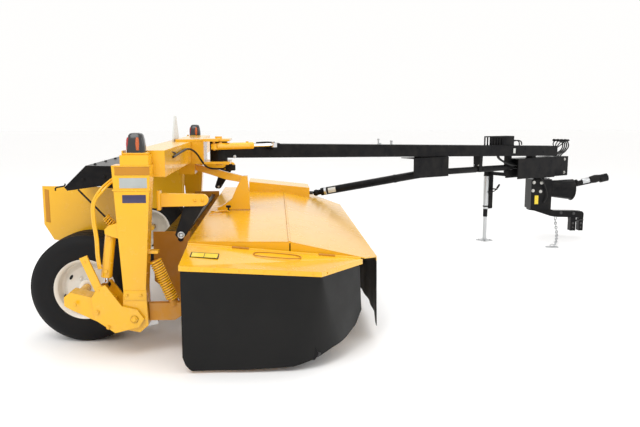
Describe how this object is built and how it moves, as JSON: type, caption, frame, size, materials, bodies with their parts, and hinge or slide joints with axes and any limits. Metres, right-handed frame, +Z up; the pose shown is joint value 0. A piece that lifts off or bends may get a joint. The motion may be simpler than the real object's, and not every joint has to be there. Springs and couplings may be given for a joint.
{
  "type": "disc mower conditioner",
  "caption": "Trailed side-pull hay machine: covered disc cutterbar and conditioner on a wheeled trail frame with a long swinging tongue, jack and drive line.",
  "frame": {"origin": "middle of the whole machine's footprint box, on the ground", "axes": "+X forward, the way the machine is towed, +Y to its left, +Z up"},
  "size_m": [6.1168, 4.7918, 1.62],
  "materials": {
    "body_yellow": "golden yellow gloss enamel",
    "frame_black": "black semi-gloss enamel",
    "curtain_rubber": "dull black reinforced rubber sheet",
    "roll_rubber": "black moulded rubber",
    "tyre_rubber": "matt black ribbed tyre",
    "rim_white": "white enamel",
    "zinc_steel": "zinc-plated steel",
    "rod_chrome": "polished hard chrome",
    "lamp_plastic": "black housing with amber and red lenses",
    "disc_steel": "bare worn steel"
  },
  "bodies": {
    "trail_frame": {"header_frame": "frame_black", "rear_deck": "body_yellow", "left_end_cover": "body_yellow", "side_curtain_left": "curtain_rubber", "cutterbar": "frame_black", "header_gearbox": "frame_black", "conditioner_side_right": "body_yellow", "conditioner_side_left": "body_yellow", "cross_beam": "body_yellow", "tongue_fork": "body_yellow", "upper_link": "body_yellow", "swath_hood": "frame_black", "leg_right": "body_yellow", "leg_left": "body_yellow", "lamp_right": "lamp_plastic", "lamp_left": "lamp_plastic", "float_link_right": "body_yellow", "float_link_left": "body_yellow"},
    "front_cover": {"front_cover": "body_yellow", "front_curtain": "curtain_rubber"},
    "end_shield": {"end_shield_right": "body_yellow", "side_curtain_right": "curtain_rubber"},
    "disc_1": {"disc_1": "disc_steel"},
    "disc_2": {"disc_2": "disc_steel"},
    "disc_3": {"disc_3": "disc_steel"},
    "disc_4": {"disc_4": "disc_steel"},
    "disc_5": {"disc_5": "disc_steel"},
    "disc_6": {"disc_6": "disc_steel"},
    "disc_7": {"disc_7": "disc_steel"},
    "disc_8": {"disc_8": "disc_steel"},
    "disc_9": {"disc_9": "disc_steel"},
    "disc_10": {"disc_10": "disc_steel"},
    "lower_roll": {"lower_roll": "roll_rubber"},
    "upper_roll": {"upper_roll": "roll_rubber"},
    "swath_gate": {"swath_gate": "frame_black"},
    "windrow_shield_right": {"windrow_shield_right": "body_yellow"},
    "wheel_arm_right": {"wheel_arm_right": "body_yellow"},
    "wheel_right": {"rim_right": "rim_white", "tyre_right": "tyre_rubber"},
    "lift_barrel_right": {"lift_barrel_right": "frame_black"},
    "lift_rod_right": {"lift_rod_right": "rod_chrome"},
    "windrow_shield_left": {"windrow_shield_left": "body_yellow"},
    "wheel_arm_left": {"wheel_arm_left": "body_yellow"},
    "wheel_left": {"rim_left": "rim_white", "tyre_left": "tyre_rubber"},
    "lift_barrel_left": {"lift_barrel_left": "frame_black"},
    "lift_rod_left": {"lift_rod_left": "rod_chrome"},
    "tongue": {"tongue": "frame_black", "jack_sleeve": "frame_black", "front_gearbox": "frame_black"},
    "swing_barrel": {"swing_barrel": "body_yellow"},
    "swing_rod": {"swing_rod": "rod_chrome"},
    "tongue_shaft": {"tongue_shaft": "frame_black"},
    "telescope_shaft": {"telescope_shaft": "frame_black"},
    "telescope_tube": {"telescope_tube": "frame_black"},
    "jack_leg": {"jack_leg": "zinc_steel"},
    "hitch": {"swivel_gearbox": "frame_black", "hitch_arm": "frame_black"},
    "pto_shaft": {"pto_shaft": "frame_black"}
  },
  "joints": [
    {"name": "cover_hinge", "type": "hinge", "parent": "trail_frame", "child": "front_cover", "pos_m": [-1.19887, -0.2959, 0.752], "axis": [0, -1, 0], "range_deg": [0, 45]},
    {"name": "shield_hinge", "type": "hinge", "parent": "trail_frame", "child": "end_shield", "pos_m": [-1.30196, -1.9159, 0.691], "axis": [-0.9952, 0, 0.0977], "range_deg": [0, 85]},
    {"name": "disc_spin_1", "type": "hinge", "parent": "trail_frame", "child": "disc_1", "pos_m": [-1.11987, -2.0779, 0.15], "axis": [0, 0, 1], "continuous": true},
    {"name": "disc_spin_2", "type": "hinge", "parent": "trail_frame", "child": "disc_2", "pos_m": [-1.11987, -1.6819, 0.15], "axis": [0, 0, 1], "continuous": true},
    {"name": "disc_spin_3", "type": "hinge", "parent": "trail_frame", "child": "disc_3", "pos_m": [-1.11987, -1.28591, 0.15], "axis": [0, 0, 1], "continuous": true},
    {"name": "disc_spin_4", "type": "hinge", "parent": "trail_frame", "child": "disc_4", "pos_m": [-1.11987, -0.8899, 0.15], "axis": [0, 0, 1], "continuous": true},
    {"name": "disc_spin_5", "type": "hinge", "parent": "trail_frame", "child": "disc_5", "pos_m": [-1.11987, -0.4939, 0.15], "axis": [0, 0, 1], "continuous": true},
    {"name": "disc_spin_6", "type": "hinge", "parent": "trail_frame", "child": "disc_6", "pos_m": [-1.11987, -0.09791, 0.15], "axis": [0, 0, 1], "continuous": true},
    {"name": "disc_spin_7", "type": "hinge", "parent": "trail_frame", "child": "disc_7", "pos_m": [-1.11987, 0.29809, 0.15], "axis": [0, 0, 1], "continuous": true},
    {"name": "disc_spin_8", "type": "hinge", "parent": "trail_frame", "child": "disc_8", "pos_m": [-1.11987, 0.6941, 0.15], "axis": [0, 0, 1], "continuous": true},
    {"name": "disc_spin_9", "type": "hinge", "parent": "trail_frame", "child": "disc_9", "pos_m": [-1.11987, 1.0901, 0.15], "axis": [0, 0, 1], "continuous": true},
    {"name": "disc_spin_10", "type": "hinge", "parent": "trail_frame", "child": "disc_10", "pos_m": [-1.11987, 1.48609, 0.15], "axis": [0, 0, 1], "continuous": true},
    {"name": "lower_roll_spin", "type": "hinge", "parent": "trail_frame", "child": "lower_roll", "pos_m": [-1.50987, -0.2959, 0.3], "axis": [0, 1, 0], "continuous": true},
    {"name": "upper_roll_spin", "type": "hinge", "parent": "trail_frame", "child": "upper_roll", "pos_m": [-1.57987, -0.2959, 0.57], "axis": [0, 1, 0], "continuous": true},
    {"name": "gate_hinge", "type": "hinge", "parent": "trail_frame", "child": "swath_gate", "pos_m": [-1.98987, -0.2959, 0.735], "axis": [0, 1, 0], "range_deg": [-40, 12]},
    {"name": "windrow_hinge_right", "type": "hinge", "parent": "trail_frame", "child": "windrow_shield_right", "pos_m": [-2.28987, -1.3959, 1.1], "axis": [0, 0, -1], "range_deg": [0, 25]},
    {"name": "windrow_hinge_left", "type": "hinge", "parent": "trail_frame", "child": "windrow_shield_left", "pos_m": [-2.28987, 0.8041, 1.1], "axis": [0, 0, 1], "range_deg": [0, 25]},
    {"name": "arm_hinge_right", "type": "hinge", "parent": "trail_frame", "child": "wheel_arm_right", "pos_m": [-2.24987, -1.98591, 0.27], "axis": [0, -1, 0], "range_deg": [0, 40]},
    {"name": "wheel_spin_right", "type": "hinge", "parent": "wheel_arm_right", "child": "wheel_right", "pos_m": [-2.66487, -1.5759, 0.3935], "axis": [0, 1, 0], "continuous": true},
    {"name": "lift_hinge_right", "type": "hinge", "parent": "trail_frame", "child": "lift_barrel_right", "pos_m": [-2.39987, -1.98591, 0.87], "axis": [0, 1, 0], "range_deg": [-0.5, 6.53]},
    {"name": "lift_slide_right", "type": "slide", "parent": "lift_barrel_right", "child": "lift_rod_right", "axis": [-0.1372, 0, -0.9905], "range_m": [-0.002, 0.19577]},
    {"name": "arm_hinge_left", "type": "hinge", "parent": "trail_frame", "child": "wheel_arm_left", "pos_m": [-2.24987, 1.3941, 0.27], "axis": [0, -1, 0], "range_deg": [0, 40]},
    {"name": "wheel_spin_left", "type": "hinge", "parent": "wheel_arm_left", "child": "wheel_left", "pos_m": [-2.66487, 0.9841, 0.3935], "axis": [0, 1, 0], "continuous": true},
    {"name": "lift_hinge_left", "type": "hinge", "parent": "trail_frame", "child": "lift_barrel_left", "pos_m": [-2.39987, 1.3941, 0.87], "axis": [0, 1, 0], "range_deg": [-0.5, 6.53]},
    {"name": "lift_slide_left", "type": "slide", "parent": "lift_barrel_left", "child": "lift_rod_left", "axis": [-0.1372, 0, -0.9905], "range_m": [-0.002, 0.19577]},
    {"name": "tongue_swing", "type": "hinge", "parent": "trail_frame", "child": "tongue", "pos_m": [-1.80987, -0.2959, 1.308], "axis": [0, 0, 1], "range_deg": [-30, 0]},
    {"name": "swing_base_hinge", "type": "hinge", "parent": "trail_frame", "child": "swing_barrel", "pos_m": [-1.83487, -0.4859, 1.352], "axis": [0, 0, 1], "range_deg": [-26.2, 0.5]},
    {"name": "swing_rod_slide", "type": "slide", "parent": "swing_barrel", "child": "swing_rod", "axis": [0.8572, 0.515, 0], "range_m": [-0.09149, 0.002]},
    {"name": "tongue_shaft_spin", "type": "hinge", "parent": "tongue", "child": "tongue_shaft", "pos_m": [0.43591, 1.0535, 0.975], "axis": [0.8572, 0.515, 0], "continuous": true},
    {"name": "jack_slide", "type": "slide", "parent": "tongue", "child": "jack_leg", "axis": [0, 0, 1], "range_m": [0, 0.3]},
    {"name": "telescope_hinge", "type": "hinge", "parent": "trail_frame", "child": "telescope_tube", "pos_m": [-0.81987, 1.3641, 0.72], "axis": [0.2131, 0.0611, -0.9751], "range_deg": [-0.5, 31.34]},
    {"name": "telescope_slide", "type": "slide", "parent": "telescope_tube", "child": "telescope_shaft", "axis": [0.9524, -0.2356, 0.1934], "range_m": [-0.002, 0.99141]},
    {"name": "hitch_swivel", "type": "hinge", "parent": "tongue", "child": "hitch", "pos_m": [2.1331, 2.07327, 0.8], "axis": [0, 0, 1], "range_deg": [-30, 75]},
    {"name": "pto_spin", "type": "hinge", "parent": "hitch", "child": "pto_shaft", "pos_m": [2.36285, 2.07327, 0.67], "axis": [0.9781, 0, 0.2079], "continuous": true}
  ],
  "couplings": [
    {"joint": "disc_spin_2", "follows": "disc_spin_1", "ratio": -1},
    {"joint": "disc_spin_3", "follows": "disc_spin_1", "ratio": 1},
    {"joint": "disc_spin_4", "follows": "disc_spin_1", "ratio": -1},
    {"joint": "disc_spin_5", "follows": "disc_spin_1", "ratio": 1},
    {"joint": "disc_spin_6", "follows": "disc_spin_1", "ratio": -1},
    {"joint": "disc_spin_7", "follows": "disc_spin_1", "ratio": 1},
    {"joint": "disc_spin_8", "follows": "disc_spin_1", "ratio": -1},
    {"joint": "disc_spin_9", "follows": "disc_spin_1", "ratio": 1},
    {"joint": "disc_spin_10", "follows": "disc_spin_1", "ratio": -1},
    {"joint": "upper_roll_spin", "follows": "lower_roll_spin", "ratio": -1},
    {"joint": "lift_hinge_right", "follows": "arm_hinge_right", "ratio": 0.15074},
    {"joint": "lift_slide_right", "follows": "arm_hinge_right", "m_per_rad": 0.27756},
    {"joint": "lift_hinge_left", "follows": "arm_hinge_left", "ratio": 0.15074},
    {"joint": "lift_slide_left", "follows": "arm_hinge_left", "m_per_rad": 0.27756},
    {"joint": "swing_base_hinge", "follows": "tongue_swing", "ratio": 0.85676},
    {"joint": "swing_rod_slide", "follows": "tongue_swing", "m_per_rad": 0.17092},
    {"joint": "telescope_hinge", "follows": "tongue_swing", "ratio": -1.0279},
    {"joint": "telescope_slide", "follows": "tongue_swing", "m_per_rad": -1.8896}
  ]
}
